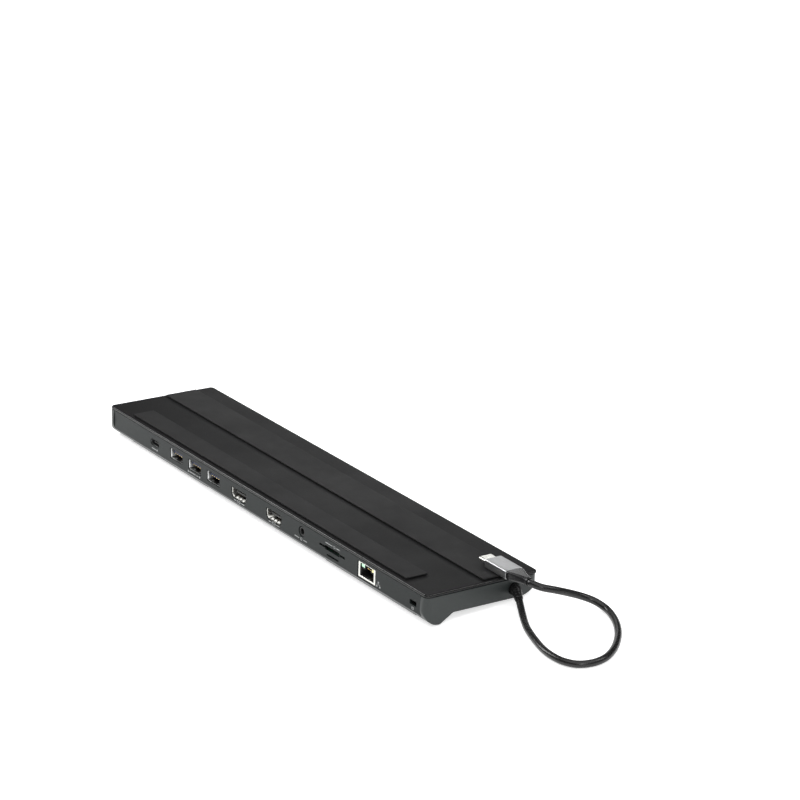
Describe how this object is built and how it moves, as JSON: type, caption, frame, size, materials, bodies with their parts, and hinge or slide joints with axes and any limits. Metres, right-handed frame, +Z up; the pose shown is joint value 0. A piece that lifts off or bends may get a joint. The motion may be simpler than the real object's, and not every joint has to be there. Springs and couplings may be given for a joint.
{
  "type": "laptop docking station",
  "caption": "Low bar that a laptop stands on, with a row of sockets along its rear, two grip strips on top and a short host cable with a plug at its left end.",
  "frame": {"origin": "centre of the footprint on the table, measured without the host cable and its plug", "axes": "+X along the bar to the user's right, +Y towards the socket side at the rear, +Z up; the bar itself leans 5 degrees about X, rear up, on its feet"},
  "size_m": [0.4163, 0.0841, 0.0207],
  "materials": {
    "cover": "matte, fine grain",
    "case": "satin dark grey",
    "panel": "satin dark grey",
    "grip_rubber": "matte",
    "foot_rubber": "matte",
    "steel": "plated",
    "socket_metal": "bright plated sheet",
    "black_plastic": "moulded",
    "blue_plastic": "moulded",
    "board": "solder mask",
    "aluminium": "plain sheet",
    "thermal_pad": "soft",
    "gold_contacts": "gold plated",
    "green_lamp": "clear green",
    "amber_lamp": "clear amber",
    "white_plastic": "moulded",
    "cable_jacket": "smooth, slightly glossy",
    "plug_sleeve": "fine satin"
  },
  "bodies": {
    "dock": {"top_cover": "cover", "lower_case": "case", "rear_panel": "panel", "rear_grip_strip": "grip_rubber", "front_grip_strip": "grip_rubber", "rear_foot_left": "foot_rubber", "rear_foot_right": "foot_rubber", "front_foot_left": "foot_rubber", "front_foot_right": "foot_rubber", "case_screw_1": "steel", "case_screw_2": "steel", "case_screw_3": "steel", "case_screw_4": "steel", "board_screw_1": "steel", "board_screw_2": "steel", "board_screw_3": "steel", "board_screw_4": "steel", "lock_bracket": "steel", "sd_spring": "steel", "micro_sd_spring": "steel", "usb_c_shell": "socket_metal", "usb_a_shell_1": "socket_metal", "usb_a_shell_2": "socket_metal", "usb_a_shell_3": "socket_metal", "display_shell_1": "socket_metal", "display_shell_2": "socket_metal", "network_shield": "socket_metal", "plug_shell": "socket_metal", "sd_socket_shell": "socket_metal", "micro_sd_socket_shell": "socket_metal", "usb_c_tongue": "black_plastic", "display_tongue_1": "black_plastic", "display_tongue_2": "black_plastic", "audio_jack_ring": "black_plastic", "audio_jack_body": "black_plastic", "network_insert": "black_plastic", "sd_socket_base": "black_plastic", "micro_sd_socket_base": "black_plastic", "plug_insulator": "black_plastic", "hub_chip": "black_plastic", "display_chip": "black_plastic", "network_transformer": "black_plastic", "usb_a_tongue_1": "blue_plastic", "usb_a_tongue_2": "blue_plastic", "usb_a_tongue_3": "blue_plastic", "main_board": "board", "heat_spreader": "aluminium", "hub_thermal_pad": "thermal_pad", "display_thermal_pad": "thermal_pad", "network_contacts": "gold_contacts", "link_lamp": "green_lamp", "activity_lamp": "amber_lamp", "cable_header": "white_plastic", "host_cable": "cable_jacket", "cable_strain_relief": "cable_jacket", "internal_lead": "cable_jacket", "plug_boot": "cable_jacket", "plug_sleeve": "plug_sleeve"},
    "sd_slider": {"sd_ejector": "white_plastic"},
    "micro_sd_slider": {"micro_sd_ejector": "white_plastic"}
  },
  "joints": [
    {"name": "sd_eject", "type": "slide", "parent": "dock", "child": "sd_slider", "axis": [0, -0.9962, -0.0872], "range_m": [0, 0.0018], "stiffness_N_per_m": 200, "springref_m": -0.001},
    {"name": "micro_sd_eject", "type": "slide", "parent": "dock", "child": "micro_sd_slider", "axis": [0, -0.9962, -0.0872], "range_m": [0, 0.0012], "stiffness_N_per_m": 150, "springref_m": -0.001}
  ]
}
